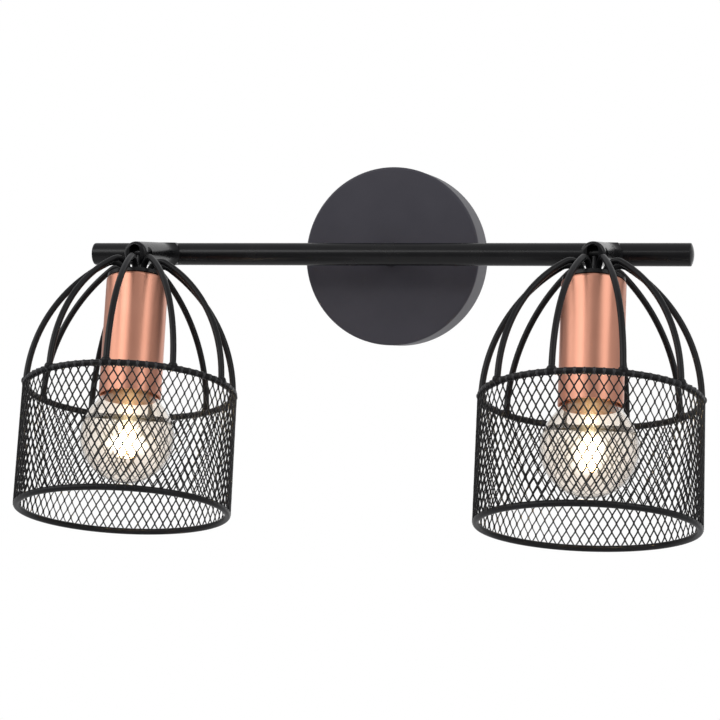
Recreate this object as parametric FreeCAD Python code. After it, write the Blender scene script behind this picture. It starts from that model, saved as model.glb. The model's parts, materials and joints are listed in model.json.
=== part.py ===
import FreeCAD, Part
import math
import os

# Two-head wall spotlight. Millimetres, Z up, X along the bar, Y into the wall.
# The origin is the centre of the canopy on the wall plane, and the light stands out along -Y.

V = FreeCAD.Vector

# General clearances and fasteners
overrun = 1.0
running_clearance = 0.05
fit_clearance = 0.1
screw_diameter = 4.0
screw_head_diameter = 7.0
screw_head_height = 2.0
screw_drive_width = 1.0
screw_drive_depth = 0.8
screw_nut_across_flats = 7.0
screw_nut_height = 1.9

# Hollow thread that carries the wiring
thread_diameter = 10.0
thread_nut_across_flats = 14.0
thread_nut_height = 3.0

# Canopy on the wall
canopy_diameter = 120.0
canopy_depth = 28.5
canopy_wall = 1.2
canopy_edge_radius = 1.6
side_screw_height = 9.0
side_screw_sink = 0.3

# Wall strap inside the canopy
strap_width = 20.0
strap_thickness = 2.0
ear_width = 14.0
ear_length = 14.0
ear_gap = 0.4
wall_slot_spacing = 60.0
wall_slot_width = 4.5
wall_slot_length = 12.0
cable_hole_diameter = 18.0
earth_screw_drop = 16.0
earth_screw_length = 6.0
earth_washer_diameter = 9.0
earth_washer_thickness = 1.0

# Terminal block on the strap
terminal_rise = 16.5
terminal_pitch = 9.3
terminal_poles = 3
terminal_base_height = 6.0
terminal_tower_height = 7.0
terminal_tower_width = 7.0
terminal_depth = 12.0
terminal_margin = 1.5
terminal_bore = 3.2
terminal_bore_height = 7.0
terminal_screw_diameter = 2.6
terminal_screw_length = 4.2
terminal_screw_offset = 3.2

# Post between the canopy and the bar
bar_reach = 53.0
stand_off_diameter = 14.0
stand_off_thread_share = 0.47
nipple_bore = 7.0
nipple_length = 16.0
nipple_washer_diameter = 18.0
nipple_washer_thickness = 1.0

# Bar
bar_length = 410.0
bar_diameter = 15.0
bar_wall = 1.25
end_cap_thickness = 4.0
end_cap_dome = 1.8
end_cap_edge_radius = 0.8
end_cap_spigot_length = 8.0
end_cap_spigot_wall = 1.5

# Swivel arm with the slotted knuckle
head_spacing = 300.0
arm_diameter = 15.4
arm_reach = 63.5
arm_nose_length = 8.5
arm_nose_radius = 2.5
arm_base_wall = 4.0
arm_cavity_diameter = 10.6
saddle_reach = 17.0
saddle_half_width = 10.5
swivel_gap = 0.2
swivel_bolt_diameter = 8.0
swivel_bolt_bore = 4.5
swivel_bolt_head_diameter = 9.8
swivel_bolt_head_height = 3.0
swivel_washer_thickness = 0.8
lead_hole_diameter = 6.0
slot_width = 7.2
slot_rise = 6.0
slot_back = 6.5
cheek_floor = 1.6
counterbore_clearance = 0.2

# Head lug that tilts in the knuckle
lug_gap = 0.4
eye_diameter = 7.6
stem_diameter = 6.0
collar_diameter = 11.0
collar_height = 1.6
stud_length = 13.0
disc_drop = 15.8

# Cage
disc_diameter = 39.0
disc_thickness = 2.5
disc_edge_radius = 0.6
wire_diameter = 4.0
wire_count = 10
ring_radius = 66.5
top_ring_drop = 93.8
shoulder_radius = 101.0
hook_radius = 8.0
band_height = 78.0
mesh_thickness = 1.0
mesh_strand = 1.5
mesh_rim = 1.0
mesh_columns = 40
mesh_rows = 4
seam_share = 0.001

# Copper sleeve
sleeve_diameter = 40.0
sleeve_length = 79.0
sleeve_wall = 1.0
sleeve_corner_radius = 2.0

# Lampholder for a 27 mm screw cap
holder_diameter = 33.0
holder_neck_diameter = 15.0
holder_neck_height = 6.0
holder_shoulder_height = 7.0
holder_cap_height = 16.0
holder_shell_height = 34.0
holder_wall = 2.0
holder_core_height = 4.0
contact_tongue_width = 5.0
contact_tongue_thickness = 1.0
screw_shell_wall = 0.5
screw_shell_height = 24.0

# Bulb, 60 mm across and 106 mm long
bulb_radius = 30.0
bulb_centre_drop = 123.8
bulb_length = 106.0
bulb_neck_diameter = 25.2
bulb_shoulder_angle = 50.0
glass_wall = 0.8
bulb_cap_diameter = 26.2
bulb_cap_wall = 0.4
bulb_cap_height = 23.0
bulb_cap_seat = 3.0
bulb_cap_top_height = 3.0
bulb_contact_diameter = 9.0
bulb_contact_height = 0.6
stem_flare_height = 12.0
stem_plate_thickness = 1.0
stem_rod_diameter = 5.0
filament_diameter = 3.0
filament_length = 16.0
filament_offset = 4.0
filament_count = 4
filament_sink = 4.0

# Wiring
lead_diameter = 2.6
lead_spread = 1.7
lead_bend = 5.0
lead_loop_height = 5.0

# Pose of the arms and of each head in the photograph, in degrees
droop_angle = 2.4
tilt_forward = 16.0
swivel_angle = {"left": -3.3, "right": -1.9}
wire_spin = {"left": 8.5, "right": -10.8}
side_sign = {"left": -1.0, "right": 1.0}

os.makedirs("parts", exist_ok=True)
ORIGIN = V(0, 0, 0)
X_AXIS = V(1, 0, 0)
Y_AXIS = V(0, 1, 0)
Z_AXIS = V(0, 0, 1)


# Small builders

def rod(diameter, low, high):
    """Solid cylinder about Z between two heights."""
    return Part.makeCylinder(diameter / 2, high - low, V(0, 0, low))


def tube(outer_diameter, inner_diameter, low, high):
    """Hollow cylinder about Z between two heights."""
    return rod(outer_diameter, low, high).cut(rod(inner_diameter, low - overrun, high + overrun))


def block(size_x, size_y, low, high):
    """Box centred on Z between two heights."""
    return Part.makeBox(size_x, size_y, high - low, V(-size_x / 2, -size_y / 2, low))


def hexagon(across_flats, low, high):
    """Hexagonal bar about Z between two heights."""
    corner = across_flats / math.sqrt(3)
    turns = [math.radians(60 * k) for k in range(7)]
    points = [V(corner * math.cos(turn), corner * math.sin(turn), low) for turn in turns]
    return Part.Face(Part.makePolygon(points)).extrude(V(0, 0, high - low))


def turned(edges):
    """Solid of revolution about Z from the edges of a closed outline in the XZ plane."""
    outline = Part.Wire(Part.__sortEdges__(edges))
    return Part.Face(outline).revolve(ORIGIN, Z_AXIS, 360)


def polyline(points):
    """Edges through points given as radius and height, closed back to the first."""
    corners = [V(radius, 0, height) for radius, height in points]
    return [Part.makeLine(a, b) for a, b in zip(corners, corners[1:] + corners[:1])]


def circle_edge(centre, radius, start, end):
    """Arc in the XZ plane about a centre, between two angles in degrees from +X towards +Z."""
    def at(angle):
        turn = math.radians(angle)
        return V(centre.x + radius * math.cos(turn), 0, centre.z + radius * math.sin(turn))
    return Part.Arc(at(start), at((start + end) / 2), at(end)).toShape()


def rounded(shape, radius, picks):
    """Fillet the edges that the test picks."""
    return shape.makeFillet(radius, [edge for edge in shape.Edges if picks(edge)])


def circle_at(height, diameter):
    """Test for a full circular edge about Z at one height."""
    def picks(edge):
        if edge.Degenerated or not isinstance(edge.Curve, Part.Circle):
            return False
        curve = edge.Curve
        same_height = abs(curve.Center.z - height) < running_clearance
        return same_height and abs(curve.Radius - diameter / 2) < running_clearance
    return picks


def route(points, bend):
    """Straight runs through the points, joined by tangent arcs of one bend radius."""
    edges = []
    start = points[0]
    for before, corner, after in zip(points, points[1:], points[2:]):
        incoming = (corner - before).normalize()
        outgoing = (after - corner).normalize()
        turn = incoming.getAngle(outgoing)
        setback = bend * math.tan(turn / 2)
        enter = corner - incoming * setback
        leave = corner + outgoing * setback
        inward = (outgoing - incoming).normalize()
        middle = corner + inward * (bend / math.cos(turn / 2) - bend)
        edges += [Part.makeLine(start, enter), Part.Arc(enter, middle, leave).toShape()]
        start = leave
    edges.append(Part.makeLine(start, points[-1]))
    return Part.Wire(edges)


def round_cord(path_points, bend, diameter):
    """Round tube along a route."""
    path = route(path_points, bend)
    direction = path_points[1] - path_points[0]
    section = Part.Wire([Part.makeCircle(diameter / 2, path_points[0], direction)])
    return path.makePipeShell([section], True, True)


def outward(shape):
    """Turn a piece modelled about Z so that its top faces out of the wall, along -Y."""
    turned_shape = shape.copy()
    turned_shape.rotate(ORIGIN, X_AXIS, 90)
    return turned_shape


def moved(shape, x=0.0, y=0.0, z=0.0):
    """Copy of a shape shifted by an offset."""
    copy = shape.copy()
    copy.translate(V(x, y, z))
    return copy


def spun(shape, angle, axis=Z_AXIS):
    """Copy of a shape turned about an axis through the origin."""
    copy = shape.copy()
    copy.rotate(ORIGIN, axis, angle)
    return copy


def pan_screw(diameter, length, head_diameter, head_height):
    """Slotted pan-head screw about Z: the head stands on z = 0 and the shank goes down."""
    head = rod(head_diameter, 0, head_height)
    shank = rod(diameter, -length, 0)
    floor = head_height - screw_drive_depth
    drive = block(head_diameter + overrun, screw_drive_width, floor, head_height + overrun)
    return head.fuse(shank).cut(drive).removeSplitter()


# Places that several pieces share

head_x = head_spacing / 2
arm_back = saddle_reach + swivel_gap
pivot_reach = arm_reach - arm_nose_length
stand_off_thread_depth = (bar_reach - bar_diameter / 2 - canopy_depth) * stand_off_thread_share
canopy_inner_radius = canopy_diameter / 2 - canopy_wall
canopy_face_back = canopy_depth - canopy_wall
ear_outer = math.sqrt((canopy_inner_radius - ear_gap) ** 2 - (ear_width / 2) ** 2)
disc_bottom = -disc_drop - disc_thickness
sleeve_bottom = disc_bottom - sleeve_length
bottom_ring_drop = top_ring_drop + band_height
filament_drop = bulb_centre_drop + filament_sink
bulb_bottom = -bulb_centre_drop - bulb_radius
bulb_top = bulb_bottom + bulb_length
bulb_cap_top = bulb_top - bulb_contact_height - bulb_cap_top_height
bulb_cap_bottom = bulb_cap_top - bulb_cap_height
bulb_neck_top = bulb_cap_bottom + bulb_cap_seat
lock_nut_top = disc_bottom - sleeve_wall
holder_top = lock_nut_top - thread_nut_height
holder_joint = holder_top - holder_cap_height
holder_bottom = holder_joint - holder_shell_height


# Wall side

def wall_bracket():
    """Strap with two slots for the wall screws and an ear at each end for the canopy screws."""
    strap = block(strap_width, 2 * ear_outer, 0, strap_thickness)
    trim = block(strap_width + overrun, 2 * ear_outer, -overrun, strap_thickness + overrun)
    keep = block(strap_width, 2 * (ear_outer - ear_length), -overrun, strap_thickness + overrun)
    neck = block(ear_width, 2 * ear_outer + overrun, -overrun, strap_thickness + overrun)
    strap = strap.cut(trim.cut(keep.fuse(neck)))
    for sign in (-1, 1):
        ear = Part.makeBox(ear_width, strap_thickness, ear_length, V(-ear_width / 2, 0, 0))
        ear = moved(ear, y=ear_outer - strap_thickness) if sign > 0 else moved(ear, y=-ear_outer)
        strap = strap.fuse(ear)
        slot_run = wall_slot_length - wall_slot_width
        slot = block(wall_slot_width, slot_run, -overrun, strap_thickness + overrun)
        slot_end = rod(wall_slot_width, -overrun, strap_thickness + overrun)
        slot = slot.fuse([moved(slot_end, y=end * slot_run / 2) for end in (-1, 1)])
        strap = strap.cut(moved(slot, y=sign * wall_slot_spacing / 2))
    strap = strap.cut(rod(cable_hole_diameter, -overrun, strap_thickness + overrun))
    earth_hole = rod(screw_diameter + fit_clearance, -overrun, strap_thickness + overrun)
    strap = strap.cut(moved(earth_hole, y=-earth_screw_drop))
    cross = spun(rod(screw_diameter + fit_clearance, -canopy_diameter / 2, canopy_diameter / 2), 90, X_AXIS)
    strap = strap.cut(moved(cross, z=side_screw_height))
    return outward(strap.removeSplitter())


def earth_screw():
    """Brass screw and washer that clamp the earth wire on the strap."""
    washer = rod(earth_washer_diameter, 0, earth_washer_thickness)
    screw = moved(pan_screw(screw_diameter, earth_screw_length, screw_head_diameter, screw_head_height),
                  z=earth_washer_thickness)
    shank_reach = strap_thickness
    keep = block(earth_washer_diameter, earth_washer_diameter, -shank_reach, 2 * earth_screw_length)
    screw = washer.fuse(screw).common(keep).removeSplitter()
    return outward(moved(screw, y=-earth_screw_drop, z=strap_thickness))


def terminal_places():
    """Centre of each pole along the block."""
    return [(k - (terminal_poles - 1) / 2) * terminal_pitch for k in range(terminal_poles)]


def terminal_block():
    """Insulating block with one tower and one through bore per pole."""
    length = terminal_poles * terminal_pitch
    body = block(length, terminal_depth, 0, terminal_base_height)
    top = terminal_base_height + terminal_tower_height
    for place in terminal_places():
        tower = block(terminal_tower_width, terminal_depth - terminal_margin, 0, top)
        body = body.fuse(moved(tower, x=place))
    for place in terminal_places():
        bore = spun(rod(terminal_bore, -terminal_depth, terminal_depth), 90, X_AXIS)
        body = body.cut(moved(bore, x=place, z=terminal_bore_height))
        for side in (-1, 1):
            well = rod(terminal_screw_diameter + fit_clearance, terminal_bore_height, top + overrun)
            body = body.cut(moved(well, x=place, y=side * terminal_screw_offset))
    return outward(moved(body.removeSplitter(), y=terminal_rise, z=strap_thickness))


def terminal_screws():
    """Clamping screws, two per pole, sunk in the towers."""
    screws = []
    low = terminal_bore_height + terminal_bore / 2
    for place in terminal_places():
        for side in (-1, 1):
            screw = rod(terminal_screw_diameter, low, low + terminal_screw_length)
            rise = side * terminal_screw_offset + terminal_rise
            screws.append(moved(screw, x=place, y=rise, z=strap_thickness))
    return outward(Part.makeCompound(screws))


def canopy():
    """Round sheet-metal dish with a rounded front edge, one post hole and two side screw holes."""
    shell = rod(canopy_diameter, 0, canopy_depth)
    shell = rounded(shell, canopy_edge_radius, circle_at(canopy_depth, canopy_diameter))
    shell = shell.cut(rod(canopy_diameter - 2 * canopy_wall, -overrun, canopy_face_back))
    shell = shell.cut(rod(thread_diameter + fit_clearance, 0, canopy_depth + overrun))
    cross = spun(rod(screw_diameter + 2 * fit_clearance, -canopy_diameter, canopy_diameter), 90, X_AXIS)
    return outward(shell.cut(moved(cross, z=side_screw_height)))


def canopy_screws():
    """Two slotted grub screws in the ears of the strap, sunk just below the skin of the rim."""
    length = canopy_diameter / 2 - ear_outer + strap_thickness + overrun
    screw = rod(screw_diameter, -length, -side_screw_sink)
    drive = block(screw_diameter + overrun, screw_drive_width, -side_screw_sink - screw_drive_depth, overrun)
    upper = moved(screw.cut(drive), z=canopy_diameter / 2)
    lower = spun(upper, 180, X_AXIS)
    pair = Part.makeCompound([upper, lower])
    return moved(pair, y=-side_screw_height)


def bar_envelope():
    """Solid cylinder along X in the place of the bar."""
    cylinder = spun(rod(bar_diameter, -bar_length, bar_length), 90, Y_AXIS)
    return moved(cylinder, y=-bar_reach)


def drooped(shape):
    """Copy turned about the centre line of the bar, so that an arm hangs a little below level."""
    copy = shape.copy()
    copy.rotate(V(0, -bar_reach, 0), X_AXIS, droop_angle)
    return copy


def stand_off():
    """Turned post with a hollow thread at the back and a saddle end that hugs the bar."""
    post = rod(stand_off_diameter, canopy_depth, bar_reach)
    post = post.cut(rod(nipple_bore, 0, bar_reach + overrun))
    thread_end = canopy_depth + stand_off_thread_depth + fit_clearance
    post = post.cut(rod(thread_diameter + fit_clearance, 0, thread_end))
    return outward(post).cut(bar_envelope())


def nipple():
    """Hollow threaded tube through the canopy into the post."""
    front = canopy_depth + stand_off_thread_depth
    return outward(tube(thread_diameter, nipple_bore, front - nipple_length, front))


def nipple_washer():
    """Flat washer inside the canopy face."""
    bore = thread_diameter + 2 * fit_clearance
    low = canopy_face_back - nipple_washer_thickness
    return outward(tube(nipple_washer_diameter, bore, low, canopy_face_back))


def nipple_nut():
    """Hexagon nut that clamps the post on the canopy face."""
    high = canopy_face_back - nipple_washer_thickness
    nut = hexagon(thread_nut_across_flats, high - thread_nut_height, high)
    return outward(nut.cut(rod(thread_diameter + fit_clearance, 0, canopy_depth)))


# Bar

def bar():
    """Round tube with a wiring hole at the post and one at each saddle."""
    half = bar_length / 2 - end_cap_thickness
    pipe = moved(spun(tube(bar_diameter, bar_diameter - 2 * bar_wall, -half, half), 90, Y_AXIS), y=-bar_reach)
    rear = outward(rod(nipple_bore, 0, bar_reach))
    pipe = pipe.cut(rear)
    for sign in side_sign.values():
        front = outward(rod(lead_hole_diameter, bar_reach, bar_reach + bar_diameter))
        pipe = pipe.cut(drooped(moved(front, x=sign * head_x)))
    return pipe


def end_cap(side):
    """Push-in cap with a low domed face and a hollow spigot inside the tube."""
    rim = end_cap_thickness - end_cap_dome
    dome_radius = ((bar_diameter / 2) ** 2 + end_cap_dome ** 2) / (2 * end_cap_dome)
    start = math.degrees(math.acos(bar_diameter / 2 / dome_radius))
    face = turned([
        Part.makeLine(ORIGIN, V(bar_diameter / 2, 0, 0)),
        Part.makeLine(V(bar_diameter / 2, 0, 0), V(bar_diameter / 2, 0, rim)),
        circle_edge(V(0, 0, end_cap_thickness - dome_radius), dome_radius, start, 90),
        Part.makeLine(V(0, 0, end_cap_thickness), ORIGIN),
    ])
    face = rounded(face, end_cap_edge_radius, circle_at(rim, bar_diameter))
    spigot_diameter = bar_diameter - 2 * bar_wall - fit_clearance
    spigot = tube(spigot_diameter, spigot_diameter - 2 * end_cap_spigot_wall, -end_cap_spigot_length, 0)
    cap = moved(face.fuse(spigot).removeSplitter(), z=bar_length / 2 - end_cap_thickness)
    return moved(spun(cap, side_sign[side] * 90, Y_AXIS), y=-bar_reach)


def saddle(side):
    """Fixed seat on the bar: round at the swivel face and flared sideways where it hugs the tube."""
    root = V(arm_diameter / 2, 0, saddle_reach)
    tip = V(saddle_half_width, 0, bar_diameter / 2)
    middle = V((3 * root.x + tip.x) / 4, 0, (root.z + tip.z) / 2)
    outline = [
        Part.makeLine(V(0, 0, saddle_reach), root),
        Part.Arc(root, middle, tip).toShape(),
        Part.makeLine(tip, V(saddle_half_width, 0, 0)),
        Part.makeLine(V(saddle_half_width, 0, 0), ORIGIN),
        Part.makeLine(ORIGIN, V(0, 0, saddle_reach)),
    ]
    seat = turned(outline)
    seat = seat.common(block(2 * saddle_half_width, arm_diameter, 0, saddle_reach))
    seat = seat.cut(rod(swivel_bolt_diameter + fit_clearance, 0, saddle_reach + overrun))
    keep = block(2 * saddle_half_width, arm_diameter, bar_diameter / 4, saddle_reach)
    seat = moved(outward(seat.common(keep)), y=-bar_reach)
    return drooped(moved(seat.cut(bar_envelope()), x=side_sign[side] * head_x))


def swivel_bolt(side):
    """Hollow bolt that holds the arm on the saddle and lets it turn."""
    head_back = arm_back + arm_base_wall + swivel_washer_thickness
    shank = tube(swivel_bolt_diameter, swivel_bolt_bore, bar_diameter / 2 + fit_clearance, head_back)
    head = tube(swivel_bolt_head_diameter, swivel_bolt_bore, head_back, head_back + swivel_bolt_head_height)
    bolt = shank.fuse(head).removeSplitter()
    return drooped(moved(outward(bolt), x=side_sign[side] * head_x, y=-bar_reach))


def lead(side):
    """Two-core lead from the terminal block through the post and the bar to the swivel bolt."""
    sign = side_sign[side]
    lane = sign * lead_spread
    pole = sign * terminal_pitch
    depth = -strap_thickness - terminal_bore_height
    turn_in = -(strap_thickness + terminal_base_height + terminal_tower_height)
    hang = math.radians(droop_angle)
    run = V(0, -math.cos(hang), -math.sin(hang)) * (arm_back + arm_base_wall)
    corner = V(sign * head_x, -bar_reach, 0)
    points = [
        V(pole, depth, terminal_rise),
        V(pole, depth, lead_loop_height),
        V(lane, turn_in, 0),
        V(lane, -bar_reach, 0),
        corner,
        corner + run,
    ]
    return round_cord(points, lead_bend, lead_diameter)


# Arm

def placed_arm(shape, side):
    """Carry a piece from the arm's own frame to its place and swivel angle on the bar."""
    x = side_sign[side] * head_x
    copy = moved(outward(shape), x=x, y=-bar_reach)
    copy.rotate(V(x, 0, 0), Y_AXIS, swivel_angle[side])
    return drooped(copy)


def arm():
    """Round arm with a closed roof, an open slot at the nose and a cavity for the swivel bolt."""
    body = rod(arm_diameter, arm_back, arm_reach)
    body = rounded(body, arm_nose_radius, circle_at(arm_reach, arm_diameter))
    body = body.cut(rod(arm_cavity_diameter, arm_back + arm_base_wall, pivot_reach - slot_back + overrun))
    body = body.cut(rod(swivel_bolt_diameter + 2 * running_clearance, 0, arm_reach - slot_back))
    arch_centre = slot_rise - slot_width / 2
    slot_back_face = pivot_reach - slot_back
    slot_length = arm_reach + overrun - slot_back_face
    slot_height = arch_centre + arm_diameter
    slot_corner = V(-slot_width / 2, -arm_diameter, slot_back_face)
    channel = Part.makeBox(slot_width, slot_height, slot_length, slot_corner)
    arch = moved(rod(slot_width, slot_back_face, arm_reach + overrun), y=arch_centre)
    body = body.cut(channel.fuse(arch))
    across = spun(rod(screw_diameter + fit_clearance, -arm_diameter, arm_diameter), 90, Y_AXIS)
    body = body.cut(moved(across, z=pivot_reach))
    floor = slot_width / 2 + cheek_floor
    head_pocket = spun(rod(screw_head_diameter + 2 * counterbore_clearance, floor, arm_diameter), 90, Y_AXIS)
    nut_pocket = hexagon(screw_nut_across_flats + counterbore_clearance, floor, arm_diameter)
    nut_pocket = spun(nut_pocket, -90, Y_AXIS)
    return body.cut(moved(head_pocket, z=pivot_reach)).cut(moved(nut_pocket, z=pivot_reach))


def pivot_screw():
    """Screw across the slot that the lug tilts on."""
    floor = slot_width / 2 + cheek_floor
    screw = pan_screw(screw_diameter, 2 * floor + screw_nut_height, screw_head_diameter, screw_head_height)
    return moved(spun(moved(screw, z=floor), 90, Y_AXIS), z=pivot_reach)


def pivot_nut():
    """Thin nut sunk in the left cheek."""
    floor = slot_width / 2 + cheek_floor
    nut = hexagon(screw_nut_across_flats, floor, floor + screw_nut_height)
    nut = nut.cut(rod(screw_diameter + fit_clearance, 0, arm_diameter))
    return moved(spun(nut, -90, Y_AXIS), z=pivot_reach)


def swivel_washer():
    """Friction washer under the head of the swivel bolt."""
    low = arm_back + arm_base_wall
    bore = swivel_bolt_diameter + 2 * fit_clearance
    return tube(swivel_bolt_head_diameter, bore, low, low + swivel_washer_thickness)


# Head, modelled hanging straight down with the tilt pivot at the origin

def placed_head(shape, side):
    """Carry a head piece to its place: spin about its own stem, tilt, then swivel with the arm."""
    x = side_sign[side] * head_x
    copy = spun(shape, wire_spin[side])
    copy.rotate(ORIGIN, X_AXIS, -tilt_forward - droop_angle)
    copy.translate(V(x, -bar_reach - pivot_reach, 0))
    copy.rotate(V(x, 0, 0), Y_AXIS, swivel_angle[side])
    return drooped(copy)


def placed_lug(shape, side):
    """Carry the lug to its place without the spin, because its eye lies across the slot."""
    x = side_sign[side] * head_x
    copy = spun(shape, -tilt_forward - droop_angle, X_AXIS)
    copy.translate(V(x, -bar_reach - pivot_reach, 0))
    copy.rotate(V(x, 0, 0), Y_AXIS, swivel_angle[side])
    return drooped(copy)


def lug():
    """Eye, stem and collar in one, with a threaded stud down through the disc and the sleeve."""
    half = slot_width / 2 - lug_gap
    eye = spun(rod(eye_diameter, -half, half), 90, Y_AXIS)
    stem = rod(stem_diameter, -disc_drop, 0)
    collar = rod(collar_diameter, -disc_drop, -disc_drop + collar_height)
    stud = rod(thread_diameter, -disc_drop - stud_length, -disc_drop)
    body = eye.fuse([stem, collar, stud]).removeSplitter()
    hole = spun(rod(screw_diameter + 2 * running_clearance, -arm_diameter, arm_diameter), 90, Y_AXIS)
    return body.cut(hole)


def hub_disc():
    """Disc on top of the sleeve that the cage wires are welded to."""
    disc = rod(disc_diameter, disc_bottom, -disc_drop)
    disc = rounded(disc, disc_edge_radius, circle_at(-disc_drop, disc_diameter))
    return disc.cut(rod(thread_diameter + fit_clearance, disc_bottom - overrun, 0))


def ring(drop):
    """Round wire ring about the head axis."""
    return Part.makeTorus(ring_radius, wire_diameter / 2, V(0, 0, -drop))


def cage_wires():
    """Ten wires that stand on the disc, turn over in a hook and sweep out and down to the top ring."""
    radius_step = shoulder_radius - hook_radius
    sweep = math.asin((top_ring_drop - disc_drop) / radius_step)
    shoulder_centre = V(ring_radius - shoulder_radius, 0, -top_ring_drop)
    hook_centre = shoulder_centre + V(radius_step * math.cos(sweep), 0, radius_step * math.sin(sweep))
    foot_turn = math.asin(wire_diameter / 2 / shoulder_radius)
    backwards = V(0, -1, 0)
    root = V(ring_radius, 0, -top_ring_drop)
    section = Part.Face(Part.Wire([Part.makeCircle(wire_diameter / 2, root, Z_AXIS)]))
    foot = section.copy()
    foot.rotate(shoulder_centre, backwards, math.degrees(foot_turn))
    seam = section.copy()
    seam.rotate(shoulder_centre, backwards, math.degrees(sweep))
    shoulder = foot.revolve(shoulder_centre, backwards, math.degrees(sweep - foot_turn))
    hook = seam.revolve(hook_centre, backwards, 180 - math.degrees(sweep))
    wire = shoulder.fuse(hook)
    return Part.makeCompound([spun(wire, 360.0 / wire_count * k - 90) for k in range(wire_count)])


def mesh_column():
    """One column of the mesh: an upright strip of the band with its diamonds and half diamonds cut out."""
    outer = ring_radius + wire_diameter / 2
    inner = outer - mesh_thickness
    contact = math.sqrt((wire_diameter / 2) ** 2 - (inner - ring_radius) ** 2)
    low = -bottom_ring_drop + contact
    high = -top_ring_drop - contact
    pitch = math.pi * (inner + outer) / mesh_columns
    row = (high - low) / mesh_rows
    slope = math.atan2(row, pitch)
    half_width = pitch / 2 - mesh_strand / (2 * math.sin(slope))
    half_height = row / 2 - mesh_strand / (2 * math.cos(slope))
    section = Part.Face(Part.Wire(polyline([(inner, low), (outer, low), (outer, high), (inner, high)])))
    turn = 360.0 / mesh_columns
    strip = spun(section, -turn / 2).revolve(ORIGIN, Z_AXIS, turn)
    keep = rod(4 * ring_radius, low + mesh_rim, high - mesh_rim)
    cutters = []
    for level in range(2 * mesh_rows + 1):
        height = low + level * row / 2
        corners = [V(0, half_width, height), V(0, 0, height + half_height),
                   V(0, -half_width, height), V(0, 0, height - half_height), V(0, half_width, height)]
        diamond = Part.Face(Part.makePolygon(corners)).extrude(V(2 * ring_radius, 0, 0))
        if level in (0, 2 * mesh_rows):
            diamond = diamond.common(keep)
        places = (-turn / 2, turn / 2) if level % 2 else (0,)
        cutters += [spun(diamond, place) for place in places]
    return strip.cut(Part.makeCompound(cutters))


def mesh_band():
    """Band of diamond mesh flush with the outsides of the rings, its columns sewn into one closed skin."""
    column = mesh_column()
    half_turn = math.pi / mesh_columns
    skin = []
    for face in column.Faces:
        middle = face.CenterOfMass
        is_side = half_turn - abs(math.atan2(middle.y, middle.x)) < half_turn * seam_share
        if not is_side:
            skin.append(face)
    strip = Part.makeCompound(skin)
    band = Part.makeCompound([spun(strip, 360.0 / mesh_columns * k) for k in range(mesh_columns)])
    shell = Part.makeShell(band.Faces)
    shell.sewShape()
    return Part.makeSolid(shell)


def sleeve():
    """Copper sleeve, open below, with a small radius round its closed top."""
    body = rod(sleeve_diameter, sleeve_bottom, disc_bottom)
    body = rounded(body, sleeve_corner_radius, circle_at(disc_bottom, sleeve_diameter))
    inside = rod(sleeve_diameter - 2 * sleeve_wall, sleeve_bottom - overrun, disc_bottom - sleeve_wall)
    inside = rounded(inside, sleeve_corner_radius - sleeve_wall,
                     circle_at(disc_bottom - sleeve_wall, sleeve_diameter - 2 * sleeve_wall))
    return body.cut(inside).cut(rod(thread_diameter + fit_clearance, sleeve_bottom, 0))


def lock_nut():
    """Hexagon nut on the stud inside the sleeve."""
    nut = hexagon(thread_nut_across_flats, holder_top, lock_nut_top)
    return nut.cut(rod(thread_diameter + fit_clearance, holder_top - overrun, 0))


def holder_cap():
    """Threaded neck and domed shoulder of the lampholder."""
    neck = holder_neck_diameter / 2
    outer = holder_diameter / 2
    shoulder_high = holder_top - holder_neck_height
    shoulder_low = shoulder_high - holder_shoulder_height
    wall = holder_wall
    profile = [(neck, holder_top), (neck, shoulder_high), (outer, shoulder_low), (outer, holder_joint),
               (outer - wall, holder_joint), (outer - wall, shoulder_low), (neck, shoulder_high - wall),
               (thread_diameter / 2 + fit_clearance / 2, shoulder_high - wall),
               (thread_diameter / 2 + fit_clearance / 2, holder_top)]
    return turned(polyline(profile))


def holder_shell():
    """Outer skirt of the lampholder."""
    return tube(holder_diameter, holder_diameter - 2 * holder_wall, holder_bottom, holder_joint)


def holder_core():
    """Insulating floor of the lampholder with its sprung centre contact."""
    inside = holder_diameter - 2 * holder_wall - fit_clearance
    floor_low = bulb_top + contact_tongue_thickness
    floor = rod(inside, floor_low, floor_low + holder_core_height)
    tongue_low = floor_low - contact_tongue_thickness
    tongue = block(bulb_contact_diameter, contact_tongue_width, tongue_low, floor_low)
    return floor.fuse(tongue).removeSplitter()


def screw_shell():
    """Threaded metal shell that takes the cap of the bulb."""
    inner = bulb_cap_diameter + 2 * fit_clearance
    high = bulb_top + contact_tongue_thickness
    return tube(inner + 2 * screw_shell_wall, inner, high - screw_shell_height, high)


def bulb_outline(inset):
    """Half outline of the envelope, moved in by the inset, from its bottom to the top of its neck."""
    turn = math.radians(bulb_shoulder_angle)
    radius = bulb_radius - inset
    hollow = (bulb_radius * math.sin(turn) - bulb_neck_diameter / 2) / (1 - math.sin(turn)) + inset
    centre = V(0, 0, -bulb_centre_drop)
    hollow_centre = centre + V(math.sin(turn), 0, math.cos(turn)) * (radius + hollow)
    neck_foot = hollow_centre - V(hollow, 0, 0)
    neck_top = V(neck_foot.x, 0, bulb_neck_top)
    edges = [
        circle_edge(centre, radius, -90, 90 - bulb_shoulder_angle),
        circle_edge(hollow_centre, hollow, 270 - bulb_shoulder_angle, 180),
        Part.makeLine(neck_foot, neck_top),
    ]
    return edges, neck_top


def bulb_glass():
    """Clear envelope: a sphere that draws in through a concave shoulder to the neck."""
    outer, outer_top = bulb_outline(0)
    inner, inner_top = bulb_outline(glass_wall)
    bottom = Part.makeLine(V(0, 0, bulb_bottom), V(0, 0, bulb_bottom + glass_wall))
    return turned(outer + [Part.makeLine(outer_top, inner_top)] + inner + [bottom])


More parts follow.
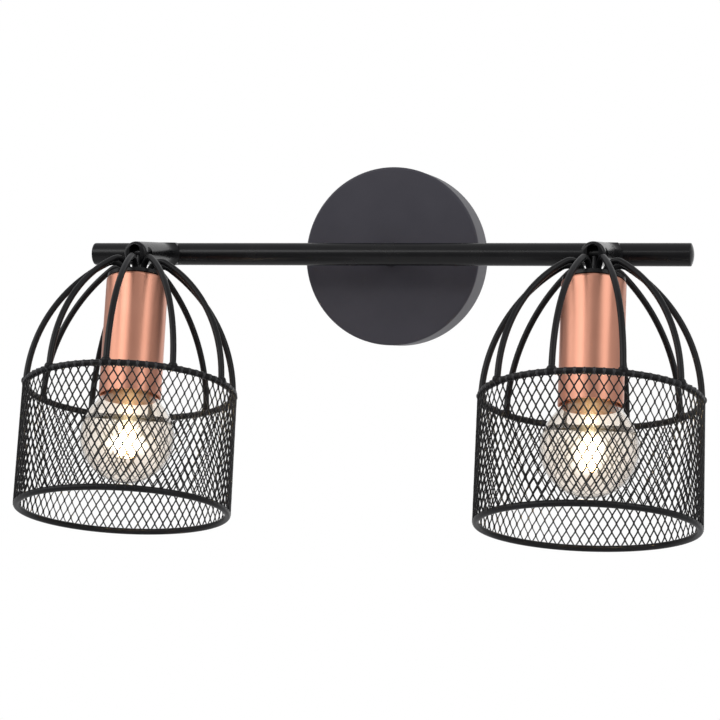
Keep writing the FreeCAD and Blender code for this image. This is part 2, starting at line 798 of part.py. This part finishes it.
def bulb_cap():
    """Screw cap of the bulb with its tapered top and centre contact."""
    outer = bulb_cap_diameter / 2
    inner = outer - bulb_cap_wall
    contact = bulb_contact_diameter / 2
    profile = [(outer, bulb_cap_bottom), (outer, bulb_cap_top), (contact, bulb_top - bulb_contact_height),
               (contact, bulb_top), (0, bulb_top), (0, bulb_cap_top), (inner, bulb_cap_top),
               (inner, bulb_cap_bottom)]
    return turned(polyline(profile))


def bulb_stem():
    """Glass stem sealed in the neck, with the two carrier plates of the filaments."""
    flare_low = bulb_neck_top - stem_flare_height
    seal = bulb_neck_diameter / 2 - glass_wall - running_clearance
    rod_radius = stem_rod_diameter / 2
    plate = filament_offset + filament_diameter / 2
    high = -filament_drop + filament_length / 2
    low = -filament_drop - filament_length / 2
    thickness = stem_plate_thickness
    profile = [(0, bulb_neck_top), (seal, bulb_neck_top), (seal, bulb_neck_top - thickness),
               (rod_radius, flare_low), (rod_radius, high + thickness), (plate, high + thickness),
               (plate, high), (rod_radius / 2, high), (rod_radius / 2, low), (plate, low),
               (plate, low - thickness), (0, low - thickness)]
    return turned(polyline(profile))


def filaments():
    """Glowing filament sticks that stand between the carrier plates."""
    half = filament_length / 2
    stick = moved(rod(filament_diameter, -filament_drop - half, -filament_drop + half), x=filament_offset)
    return Part.makeCompound([spun(stick, 360.0 / filament_count * k) for k in range(filament_count)])


# Every piece under its node name

pieces = {
    "wall_bracket": wall_bracket(),
    "earth_screw": earth_screw(),
    "terminal_block": terminal_block(),
    "terminal_screws": terminal_screws(),
    "canopy": canopy(),
    "canopy_screws": canopy_screws(),
    "stand_off": stand_off(),
    "nipple": nipple(),
    "nipple_washer": nipple_washer(),
    "nipple_nut": nipple_nut(),
    "bar": bar(),
}
bar_fittings = {"end_cap": end_cap, "saddle": saddle, "swivel_bolt": swivel_bolt, "lead": lead}
arm_pieces = {
    "arm": arm(),
    "pivot_screw": pivot_screw(),
    "pivot_nut": pivot_nut(),
    "swivel_washer": swivel_washer(),
}
head_pieces = {
    "hub_disc": hub_disc(),
    "cage_wires": cage_wires(),
    "top_ring": ring(top_ring_drop),
    "mesh_band": mesh_band(),
    "bottom_ring": ring(bottom_ring_drop),
    "sleeve": sleeve(),
    "lock_nut": lock_nut(),
    "holder_cap": holder_cap(),
    "holder_shell": holder_shell(),
    "holder_core": holder_core(),
    "screw_shell": screw_shell(),
    "bulb_glass": bulb_glass(),
    "bulb_cap": bulb_cap(),
    "bulb_stem": bulb_stem(),
    "filaments": filaments(),
}
for side in side_sign:
    for name, build in bar_fittings.items():
        pieces[f"{side}_{name}"] = build(side)
    for name, shape in arm_pieces.items():
        pieces[f"{side}_{name}"] = placed_arm(shape, side)
    pieces[f"{side}_lug"] = placed_lug(lug(), side)
    for name, shape in head_pieces.items():
        pieces[f"{side}_{name}"] = placed_head(shape, side)

for name, shape in pieces.items():
    shape.exportStep(f"parts/{name}.step")
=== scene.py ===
import json
import math
import bpy
from mathutils import Matrix, Vector


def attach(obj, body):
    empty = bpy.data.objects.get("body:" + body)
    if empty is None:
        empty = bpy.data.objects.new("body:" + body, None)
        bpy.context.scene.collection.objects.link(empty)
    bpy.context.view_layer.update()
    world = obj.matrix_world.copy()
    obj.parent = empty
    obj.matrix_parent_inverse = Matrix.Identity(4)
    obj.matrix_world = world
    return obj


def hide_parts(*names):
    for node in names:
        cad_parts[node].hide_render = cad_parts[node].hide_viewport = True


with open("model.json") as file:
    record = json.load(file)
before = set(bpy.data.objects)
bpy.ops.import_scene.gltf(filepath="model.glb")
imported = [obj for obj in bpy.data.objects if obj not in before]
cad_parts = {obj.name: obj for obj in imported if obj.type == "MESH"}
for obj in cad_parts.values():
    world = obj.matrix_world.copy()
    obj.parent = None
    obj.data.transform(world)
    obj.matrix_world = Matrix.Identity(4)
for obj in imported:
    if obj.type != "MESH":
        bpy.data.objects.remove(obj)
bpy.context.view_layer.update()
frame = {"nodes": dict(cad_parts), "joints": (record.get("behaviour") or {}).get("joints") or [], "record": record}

# Two-head wall spotlight: black bar and cages, copper sleeves and lit clear bulbs.
# Metres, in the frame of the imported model: X along the bar, Y into the wall, Z up.

MM = 0.001
SIDES = ("left", "right")

# Camera, fitted to the photograph
camera_place = Vector((354.081, -1404.853, -68.0)) * MM
camera_yaw = 0.26595
camera_pitch = -0.00151
camera_roll = 0.01459
focal_pixels = 2113.1
frame_pixels = 720.0
sensor_width = 36.0

# Head
arm_droop = math.radians(2.4)
tilt_forward = math.radians(16.0)
ring_radius = 66.5 * MM
wire_radius = 2.0 * MM
wire_count = 10
wire_spin = {"left": math.radians(8.5), "right": math.radians(-10.8)}
top_ring_drop = 93.8 * MM
band_height = 78.0 * MM
filament_drop = 127.8 * MM

# Fine mesh, a little higher than the rings: flat twisted strands, and a bond where four of them meet
mesh_columns = 75
mesh_half_rows = 15
mesh_rise = 0.6 * MM
strand_width = 0.62 * MM
strand_depth = 0.70 * MM
strand_twist = math.radians(32)
bond_width = 1.1 * MM
bond_height = 2.0 * MM
foot_side_share = 0.25
foot_rise_share = 0.38

# Beads on the top ring: where the wires stand, a little above its middle, and where the mesh laps it
wire_bead = Vector((3.1, 3.1, 2.8)) * MM
wire_bead_height = 1.4 * MM
mesh_bead = Vector((2.4, 1.8, 2.25)) * MM
bead_facets = (14, 10)

# Glow round the filaments, each blob by its height over their middle in the head's frame. The left core
# is broad and the right one narrow and slanting, as the photograph shows them.
glow_reach = Vector((24.0, 24.0, 38.0)) * MM
glow_facets = (32, 20)
core_light = {"colour": (1.0, 0.90, 0.74), "strength": 3600.0}
core_lean = math.radians(25)
amber_light = (1.0, 0.78, 0.42)
orange_light = (1.0, 0.54, 0.18)
glow_cores = {
    "left": {"height": -1 * MM, "radii": Vector((4.6, 4.6, 2.1)) * MM, **core_light},
    "right": {"height": 1 * MM, "radii": Vector((3.2, 3.2, 4.2)) * MM, "lean": core_lean, **core_light},
}
# The haze is painted glow. Its orange blob, at the sleeve's mouth, is also a painted warm reflection on the copper
# in there.
glow_haze = (
    {"height": 18 * MM, "radii": Vector((3.2, 3.2, 9)) * MM, "colour": amber_light, "strength": 70.0},
    {"height": 4 * MM, "radii": Vector((10, 10, 10)) * MM, "colour": amber_light, "strength": 9.0},
    {"height": 29 * MM, "radii": Vector((10, 10, 5)) * MM, "colour": orange_light, "strength": 17.0},
)

# Surfaces: scales of the noises per metre, depths of the bumps in metres, and how far a noise moves the
# roughness under and over its middle value
paint_cloud = 60.0
paint_grain = 900.0
paint_grain_depth = 0.04 * MM
paint_bump = 0.12
paint_gloss = (0.03, 0.04)
canopy_grain = 1600.0
metal_cloud = 45.0
metal_grain = 700.0
metal_grain_depth = 0.02 * MM
metal_bump_share = 2.0
plastic_cloud = 120.0
plastic_grain = 1500.0
plastic_grain_depth = 0.03 * MM
plastic_bump = 0.15
plastic_gloss = (0.05, 0.05)
glass_cloud = 30.0
glass_lift = 1.02
glass_index = 1.45
filament_cloud = 250.0
glow_cloud = 90.0
glow_lift = 1.04

# Studio. The room has one level of light straight behind the camera and another elsewhere. An edge is
# the Y of a direction where a change begins and where it ends, between the levels or to the backdrop.
floor_drop = 1.2
floor_size = 5.0
floor_look = {"low": (0.84, 0.84, 0.84), "high": (0.88, 0.88, 0.88), "roughness": 0.8}
room_levels = (0.25, 0.50)
room_edge = (-0.95, -0.55)
backdrop_edge = (0.75, 0.95)
room_colour = (0.98, 0.98, 1.0, 1)
white_colour = (1, 1, 1, 1)
LAMPS = {
    "key_light": {
        "place": (-1.37, -1.11, 0.94), "target": (0, -0.1, 0), "size": (2.4, 1.0), "power": 8.8},
    "strip_light": {
        "place": (-0.535, -1.867, 1.033), "target": (0, -0.1, 0), "size": (1.3, 0.3), "power": 2.8},
    "side_light": {
        "place": (1.5, -0.87, 1.0), "target": (0, -0.1, -0.1), "size": (1.0, 1.2), "power": 4.6},
}


# Places

def joint_named(name):
    """The joint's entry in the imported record."""
    return next(joint for joint in frame["joints"] if joint["name"] == name)


def head_place(side):
    """Matrix from the head's own frame, hanging straight down from its pivot, to its place."""
    tilt = joint_named(f"{side}_tilt")
    axis = Vector(tilt["axis"])
    swivel = math.atan2(axis.z / math.cos(arm_droop), -axis.x)
    lean = Matrix.Rotation(arm_droop, 4, "X") @ Matrix.Rotation(swivel, 4, "Y")
    turn = Matrix.Rotation(-tilt_forward - arm_droop, 4, "X")
    return Matrix.Translation(Vector(tilt["pos_m"])) @ lean @ turn


# Nodes of the materials

def new_material(name):
    """Node material, with its nodes, its links and its principled shader."""
    material = bpy.data.materials.new(name)
    material.use_nodes = True
    nodes = material.node_tree.nodes
    return material, nodes, material.node_tree.links, nodes["Principled BSDF"]


def add_node(nodes, kind, **inputs):
    """New node with some of its inputs set."""
    node = nodes.new(kind)
    for key, value in inputs.items():
        node.inputs[key].default_value = value
    return node


def object_noise(nodes, links, scale, detail=3.0, stretch=(1, 1, 1)):
    """Noise over the object's own coordinates, in metres, stretched along chosen axes."""
    place = nodes.new("ShaderNodeTexCoord")
    mapping = add_node(nodes, "ShaderNodeMapping", Scale=stretch)
    noise = add_node(nodes, "ShaderNodeTexNoise", Scale=scale, Detail=detail)
    links.new(place.outputs["Object"], mapping.inputs["Vector"])
    links.new(mapping.outputs["Vector"], noise.inputs["Vector"])
    return noise


def ramp(nodes, links, source, low, high, start=0.3, end=0.7):
    """Colour ramp between two colours, driven by a noise."""
    node = nodes.new("ShaderNodeValToRGB")
    for element, position, colour in zip(node.color_ramp.elements, (start, end), (low, high)):
        element.position = position
        element.color = (*colour, 1)
    links.new(source.outputs["Fac"], node.inputs["Fac"])
    return node


def lifted(colour, factor):
    """Colour made a little lighter, no part of it over 1."""
    return tuple(min(1.0, part * factor) for part in colour)


def math_node(nodes, links, operation, *values):
    """Sum, product or the like of sockets and numbers."""
    node = nodes.new("ShaderNodeMath")
    node.operation = operation
    for socket, value in zip(node.inputs, values):
        if isinstance(value, bpy.types.NodeSocket):
            links.new(value, socket)
        else:
            socket.default_value = value
    return node


def map_range(nodes, links, value, target, source=(0.0, 1.0)):
    """Value mapped from one range of numbers to another."""
    node = nodes.new("ShaderNodeMapRange")
    for key, number in zip(("From Min", "From Max", "To Min", "To Max"), (*source, *target)):
        node.inputs[key].default_value = number
    links.new(value, node.inputs["Value"])
    return node


def bump(nodes, links, source, shader, strength, distance):
    """Bump from a noise."""
    node = add_node(nodes, "ShaderNodeBump", Strength=strength, Distance=distance)
    links.new(source.outputs["Fac"], node.inputs["Height"])
    links.new(node.outputs["Normal"], shader.inputs["Normal"])


def uneven_gloss(nodes, links, source, shader, roughness, less, more):
    """Roughness that a noise moves under and over its middle value."""
    gloss = map_range(nodes, links, source.outputs["Fac"], (roughness - less, roughness + more))
    links.new(gloss.outputs["Result"], shader.inputs["Roughness"])


# Materials

def coated_metal(name, low, high, roughness, shine, grain=paint_grain):
    """Painted metal: two close shades, an uneven gloss and a fine orange peel."""
    material, nodes, links, shader = new_material(name)
    cloud = object_noise(nodes, links, paint_cloud)
    tone = ramp(nodes, links, cloud, low, high)
    links.new(tone.outputs["Color"], shader.inputs["Base Color"])
    uneven_gloss(nodes, links, cloud, shader, roughness, *paint_gloss)
    bump(nodes, links, object_noise(nodes, links, grain), shader, paint_bump, paint_grain_depth)
    shader.inputs["Specular IOR Level"].default_value = shine
    return material


def plated_metal(name, low, high, roughness, unevenness=0.05, grain=metal_grain,
                 stretch=(1, 1, 1), lacquer=0.0):
    """Bare or plated metal with a fine brushed grain, with or without clear lacquer."""
    material, nodes, links, shader = new_material(name)
    cloud = object_noise(nodes, links, metal_cloud)
    tone = ramp(nodes, links, cloud, low, high)
    links.new(tone.outputs["Color"], shader.inputs["Base Color"])
    shader.inputs["Metallic"].default_value = 1.0
    lines = object_noise(nodes, links, grain, stretch=stretch)
    uneven_gloss(nodes, links, lines, shader, roughness, unevenness, unevenness)
    bump(nodes, links, lines, shader, metal_bump_share * unevenness, metal_grain_depth)
    shader.inputs["Coat Weight"].default_value = lacquer
    shader.inputs["Coat Roughness"].default_value = roughness
    return material


def moulded_plastic(name, low, high, roughness=0.45):
    """Moulded plastic with a faint texture."""
    material, nodes, links, shader = new_material(name)
    cloud = object_noise(nodes, links, plastic_cloud)
    tone = ramp(nodes, links, cloud, low, high)
    links.new(tone.outputs["Color"], shader.inputs["Base Color"])
    uneven_gloss(nodes, links, cloud, shader, roughness, *plastic_gloss)
    grain = object_noise(nodes, links, plastic_grain)
    bump(nodes, links, grain, shader, plastic_bump, plastic_grain_depth)
    return material


def clear_glass(name, tint, roughness=0.0):
    """Clear glass that lets shadow rays through."""
    material, nodes, links, shader = new_material(name)
    cloud = object_noise(nodes, links, glass_cloud)
    tone = ramp(nodes, links, cloud, tint, lifted(tint, glass_lift))
    links.new(tone.outputs["Color"], shader.inputs["Base Color"])
    shader.inputs["Transmission Weight"].default_value = 1.0
    shader.inputs["Roughness"].default_value = roughness
    shader.inputs["IOR"].default_value = glass_index
    path = nodes.new("ShaderNodeLightPath")
    see_through = add_node(nodes, "ShaderNodeBsdfTransparent", Color=(*tint, 1))
    mix = nodes.new("ShaderNodeMixShader")
    links.new(path.outputs["Is Shadow Ray"], mix.inputs[0])
    links.new(shader.outputs["BSDF"], mix.inputs[1])
    links.new(see_through.outputs["BSDF"], mix.inputs[2])
    links.new(mix.outputs["Shader"], nodes["Material Output"].inputs["Surface"])
    return material


def glowing(name, low, high, strength, roughness=0.5):
    """Light-giving surface with a slight change of colour over it."""
    material, nodes, links, shader = new_material(name)
    cloud = object_noise(nodes, links, filament_cloud)
    tone = ramp(nodes, links, cloud, low, high)
    links.new(tone.outputs["Color"], shader.inputs["Base Color"])
    links.new(tone.outputs["Color"], shader.inputs["Emission Color"])
    shader.inputs["Emission Strength"].default_value = strength
    shader.inputs["Roughness"].default_value = roughness
    return material


def blob_light(nodes, links, place, cloud, height, radii, colour, strength, lean=0.0):
    """Light of one blob, which fades by a Gaussian curve from a middle on the head's axis."""
    tone = ramp(nodes, links, cloud, colour, lifted(colour, glow_lift))
    middle = (0, 0, height)
    turn = (0, lean, 0)
    mapping = add_node(nodes, "ShaderNodeMapping", Location=middle, Rotation=turn, Scale=radii)
    mapping.vector_type = "TEXTURE"
    links.new(place.outputs["Object"], mapping.inputs["Vector"])
    square = nodes.new("ShaderNodeVectorMath")
    square.operation = "DOT_PRODUCT"
    links.new(mapping.outputs["Vector"], square.inputs[0])
    links.new(mapping.outputs["Vector"], square.inputs[1])
    fall = math_node(nodes, links, "MULTIPLY", square.outputs["Value"], -0.5)
    share = math_node(nodes, links, "EXPONENT", fall.outputs["Value"])
    level = math_node(nodes, links, "MULTIPLY", share.outputs["Value"], strength)
    light = nodes.new("ShaderNodeEmission")
    links.new(tone.outputs["Color"], light.inputs["Color"])
    links.new(level.outputs["Value"], light.inputs["Strength"])
    return light.outputs["Emission"]


def painted_glow(name, blobs):
    """Painted glow without a skin: the sum of its blobs of light."""
    material, nodes, links, shader = new_material(name)
    shader.inputs["Alpha"].default_value = 0.0
    place = nodes.new("ShaderNodeTexCoord")
    cloud = object_noise(nodes, links, glow_cloud)
    first, *others = [blob_light(nodes, links, place, cloud, **blob) for blob in blobs]
    total = first
    for light in others:
        both = nodes.new("ShaderNodeAddShader")
        links.new(total, both.inputs[0])
        links.new(light, both.inputs[1])
        total = both.outputs["Shader"]
    links.new(total, nodes["Material Output"].inputs["Volume"])
    return material


LOOKS = {
    "black_paint": (coated_metal, {
        "low": (0.005, 0.005, 0.006), "high": (0.009, 0.009, 0.010), "roughness": 0.26, "shine": 0.36}),
    "cage_paint": (coated_metal, {
        "low": (0.005, 0.005, 0.006), "high": (0.010, 0.010, 0.011), "roughness": 0.36, "shine": 0.32}),
    # Lighter than the cage paint, though the beads wear the same black paint: a painted highlight on the mesh
    # beads.
    "bead_paint": (coated_metal, {
        "low": (0.046, 0.046, 0.050), "high": (0.060, 0.060, 0.064), "roughness": 0.34, "shine": 0.40}),
    "canopy_paint": (coated_metal, {
        "low": (0.077, 0.074, 0.092), "high": (0.084, 0.081, 0.100), "roughness": 0.45, "shine": 0.30,
        "grain": canopy_grain}),
    "copper_plate": (plated_metal, {
        "low": (0.81, 0.37, 0.25), "high": (0.85, 0.40, 0.275), "roughness": 0.37, "unevenness": 0.02,
        "grain": 300.0, "stretch": (8, 8, 0.2), "lacquer": 0.25}),
    "zinc_steel": (plated_metal, {
        "low": (0.50, 0.51, 0.53), "high": (0.64, 0.65, 0.67), "roughness": 0.32}),
    "brass_metal": (plated_metal, {
        "low": (0.72, 0.52, 0.22), "high": (0.82, 0.62, 0.30), "roughness": 0.30}),
    "cap_metal": (plated_metal, {
        "low": (0.66, 0.66, 0.66), "high": (0.78, 0.78, 0.78), "roughness": 0.28}),
    "terminal_plastic": (moulded_plastic, {
        "low": (0.76, 0.76, 0.73), "high": (0.82, 0.82, 0.79)}),
    "holder_plastic": (moulded_plastic, {
        "low": (0.62, 0.50, 0.33), "high": (0.70, 0.57, 0.39)}),
    "wire_plastic": (moulded_plastic, {
        "low": (0.66, 0.66, 0.64), "high": (0.72, 0.72, 0.70), "roughness": 0.38}),
    "clear_glass": (clear_glass, {
        "tint": (0.945, 0.900, 0.850)}),
    "stem_glass": (clear_glass, {
        "tint": (0.93, 0.93, 0.92), "roughness": 0.05}),
    "filament_glow": (glowing, {
        "low": (1.0, 0.72, 0.40), "high": (1.0, 0.80, 0.52), "strength": 14.0}),
}
MATERIALS = {name: maker(name, **look) for name, (maker, look) in LOOKS.items()}
glow_materials = {side: painted_glow(f"{side}_glow", (core, *glow_haze)) for side, core in glow_cores.items()}


def paint_nodes():
    """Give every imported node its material, by the slot that the record names."""
    cage_nodes = ("cage_wires", "top_ring", "bottom_ring", "mesh_band", "hub_disc")
    for entry in frame["record"]["subparts"]:
        node = entry["node"]
        slot = "cage_paint" if node.endswith(cage_nodes) else entry["material_slot"]
        mesh = frame["nodes"][node].data
        mesh.materials.clear()
        mesh.materials.append(MATERIALS[slot])


# Pieces

def mesh_object(name, vertices, faces, material, body, smooth=False, place=Matrix()):
    """New piece from points and faces that rides on a body."""
    mesh = bpy.data.meshes.new(name)
    mesh.from_pydata(vertices, [], faces)
    mesh.update()
    mesh.materials.append(material)
    if smooth:
        mesh.shade_smooth()
    piece = bpy.data.objects.new(name, mesh)
    bpy.context.scene.collection.objects.link(piece)
    piece.matrix_world = place
    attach(piece, body)
    return piece


BAR_CORNERS = ((1, 1), (-1, 1), (-1, -1), (1, -1))
BAR_FACES = ((0, 1, 2, 3), (7, 6, 5, 4), (0, 4, 5, 1), (1, 5, 6, 2), (2, 6, 7, 3), (3, 7, 4, 0))


def flat_bar(start, end, width, depth, twist):
    """Eight corners of a flat bar in the unrolled mesh, where X runs along the band, Y out and Z up."""
    along = (end - start).normalized()
    out = Vector((0, 1, 0))
    across = along.cross(out).normalized()
    turn = Matrix.Rotation(twist, 3, along)
    side = turn @ across * width / 2
    front = turn @ out * depth / 2
    return [centre + side * a + front * b for centre in (start, end) for a, b in BAR_CORNERS]


def band_bars(column, row):
    """Bars of the unrolled mesh: a bond at each crossing and the two strands that rise from it."""
    low = mesh_rise - top_ring_drop - band_height
    bond = Vector((0, 0, bond_height / 2))
    for level in range(mesh_half_rows + 1):
        for step in range(mesh_columns):
            middle = Vector(((step + level % 2 / 2) * column, 0, low + level * row))
            yield flat_bar(middle - bond, middle + bond, bond_width, strand_depth, strand_twist / 2)
            if level == mesh_half_rows:
                continue
            for sign in (-1, 1):
                far = middle + Vector((sign * column / 2, 0, row))
                foot = Vector((sign * bond_width * foot_side_share, 0, bond_height * foot_rise_share))
                yield flat_bar(middle + foot, far - foot, strand_width, strand_depth, strand_twist)


def expanded_band(side):
    """Fine expanded mesh, rolled flush with the outside of the rings."""
    place = head_place(side)
    band_radius = ring_radius + wire_radius - strand_depth / 2
    column = 2 * math.pi * band_radius / mesh_columns
    vertices, faces = [], []
    for corners in band_bars(column, band_height / mesh_half_rows):
        base = len(vertices)
        for corner in corners:
            angle = corner.x / band_radius
            radius = band_radius + corner.y
            point = Vector((radius * math.cos(angle), radius * math.sin(angle), corner.z))
            vertices.append(place @ point)
        faces.extend(tuple(base + index for index in face) for face in BAR_FACES)
    paint = MATERIALS["cage_paint"]
    piece = mesh_object(f"{side}_fine_mesh", vertices, faces, paint, f"{side}_head")
    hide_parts(f"{side}_mesh_band")


def ball(centre, radii, segments, rings):
    """Points and faces of an ellipsoid about Z, from its low pole by level circles to its high pole."""
    stretch = Matrix.Translation(centre) @ Matrix.Diagonal((*radii, 1))
    points = [stretch @ Vector((0, 0, -1))]
    for ring in range(1, rings):
        rise = math.pi * ring / rings
        for step in range(segments):
            turn = math.pi / 2 + 2 * math.pi * step / segments
            spot = (math.sin(rise) * math.cos(turn), math.sin(rise) * math.sin(turn), -math.cos(rise))
            points.append(stretch @ Vector(spot))
    points.append(stretch @ Vector((0, 0, 1)))
    last_circle = (rings - 2) * segments
    faces = []
    for step in range(segments):
        here = 1 + step
        after = 1 + (step + 1) % segments
        faces.append((0, after, here))
        for low in range(0, last_circle, segments):
            high = low + segments
            faces.append((low + here, low + after, high + after, high + here))
        faces.append((last_circle + here, last_circle + after, len(points) - 1))
    return points, faces


def ring_beads(side, name, count, start, height, radii, paint):
    """Beads spread evenly on the top ring, each turned to follow it."""
    place = head_place(side)
    points, sides = ball(Vector((ring_radius, 0, height - top_ring_drop)), radii, *bead_facets)
    vertices, faces = [], []
    for step in range(count):
        turn = Matrix.Rotation(start + 2 * math.pi * step / count, 4, "Z")
        base = len(vertices)
        vertices.extend(place @ turn @ point for point in points)
        faces.extend(tuple(base + index for index in face) for face in sides)
    mesh_object(f"{side}_{name}", vertices, faces, MATERIALS[paint], f"{side}_head", True)


def ring_welds(side):
    """Weld beads where the wires stand on the top ring, and where the edge of the mesh laps it."""
    wire_start = wire_spin[side] - math.pi / 2
    mesh_start = math.pi / mesh_columns * (mesh_half_rows % 2)
    ring_beads(side, "wire_welds", wire_count, wire_start, wire_bead_height, wire_bead, "cage_paint")
    # The mesh beads take the lighter paint, a painted highlight.
    ring_beads(side, "mesh_welds", mesh_columns, mesh_start, 0, mesh_bead, "bead_paint")


def bulb_glow(side):
    """Painted glow round the filaments, with its origin at their middle."""
    points, faces = ball(Vector(), glow_reach, *glow_facets)
    place = head_place(side) @ Matrix.Translation((0, 0, -filament_drop))
    glow = glow_materials[side]
    mesh_object(f"{side}_glow", points, faces, glow, f"{side}_head", True, place)


# Studio

def look_rotation():
    """Camera rotation from its yaw, pitch and roll."""
    flat = math.cos(camera_pitch)
    forward = Vector((-math.sin(camera_yaw) * flat, math.cos(camera_yaw) * flat, math.sin(camera_pitch)))
    right = Vector((math.cos(camera_yaw), math.sin(camera_yaw), 0))
    up = right.cross(forward)
    right_rolled = right * math.cos(camera_roll) + up * math.sin(camera_roll)
    up_rolled = up * math.cos(camera_roll) - right * math.sin(camera_roll)
    return Matrix((right_rolled, up_rolled, -forward)).transposed().to_4x4()


def add_camera():
    """Camera at the photograph's place."""
    data = bpy.data.cameras.new("camera")
    data.sensor_width = sensor_width
    data.lens = focal_pixels / frame_pixels * sensor_width
    camera = bpy.data.objects.new("camera", data)
    camera.matrix_world = Matrix.Translation(camera_place) @ look_rotation()
    bpy.context.scene.collection.objects.link(camera)
    bpy.context.scene.camera = camera


def area_light(name, place, target, size, power):
    """Soft oblong lamp that faces a point."""
    data = bpy.data.lights.new(name, "AREA")
    data.shape = "RECTANGLE"
    data.size, data.size_y = size
    data.energy = power
    lamp = bpy.data.objects.new(name, data)
    aim = Vector(target) - Vector(place)
    lamp.matrix_world = Matrix.Translation(place) @ aim.to_track_quat("-Z", "Y").to_matrix().to_4x4()
    bpy.context.scene.collection.objects.link(lamp)


def add_world():
    """White behind the object for the eye, metal and glass, in a dimmer room."""
    world = bpy.data.worlds.new("studio")
    bpy.context.scene.world = world
    world.use_nodes = True
    nodes, links = world.node_tree.nodes, world.node_tree.links
    nodes.clear()
    path = nodes.new("ShaderNodeLightPath").outputs
    place = nodes.new("ShaderNodeTexCoord")
    split = nodes.new("ShaderNodeSeparateXYZ")
    links.new(place.outputs["Generated"], split.inputs["Vector"])
    behind = map_range(nodes, links, split.outputs["Y"], (0.0, 1.0), backdrop_edge)
    mirrored = math_node(nodes, links, "MULTIPLY", path["Is Glossy Ray"], behind.outputs["Result"])
    seen = math_node(nodes, links, "MAXIMUM", path["Is Camera Ray"], path["Is Transmission Ray"])
    shown = math_node(nodes, links, "MAXIMUM", seen.outputs["Value"], mirrored.outputs["Value"])
    level = map_range(nodes, links, split.outputs["Y"], room_levels, room_edge)
    room = add_node(nodes, "ShaderNodeBackground", Color=room_colour)
    links.new(level.outputs["Result"], room.inputs["Strength"])
    white = add_node(nodes, "ShaderNodeBackground", Color=white_colour, Strength=1.0)
    mix = nodes.new("ShaderNodeMixShader")
    output = nodes.new("ShaderNodeOutputWorld")
    links.new(shown.outputs["Value"], mix.inputs[0])
    links.new(room.outputs["Background"], mix.inputs[1])
    links.new(white.outputs["Background"], mix.inputs[2])
    links.new(mix.outputs["Shader"], output.inputs["Surface"])


def add_floor():
    """Plain pale floor below the light."""
    half = floor_size / 2
    corners = [(x * half, y * half, -floor_drop) for x, y in ((-1, -1), (1, -1), (1, 1), (-1, 1))]
    mesh = bpy.data.meshes.new("floor")
    mesh.from_pydata(corners, [], [(0, 1, 2, 3)])
    mesh.materials.append(moulded_plastic("floor_white", **floor_look))
    floor = bpy.data.objects.new("floor", mesh)
    bpy.context.scene.collection.objects.link(floor)


paint_nodes()
for side in SIDES:
    expanded_band(side)
    ring_welds(side)
    bulb_glow(side)
add_camera()
add_world()
add_floor()
for name, lamp in LAMPS.items():
    area_light(name, **lamp)
bpy.context.scene.view_settings.view_transform = "Standard"
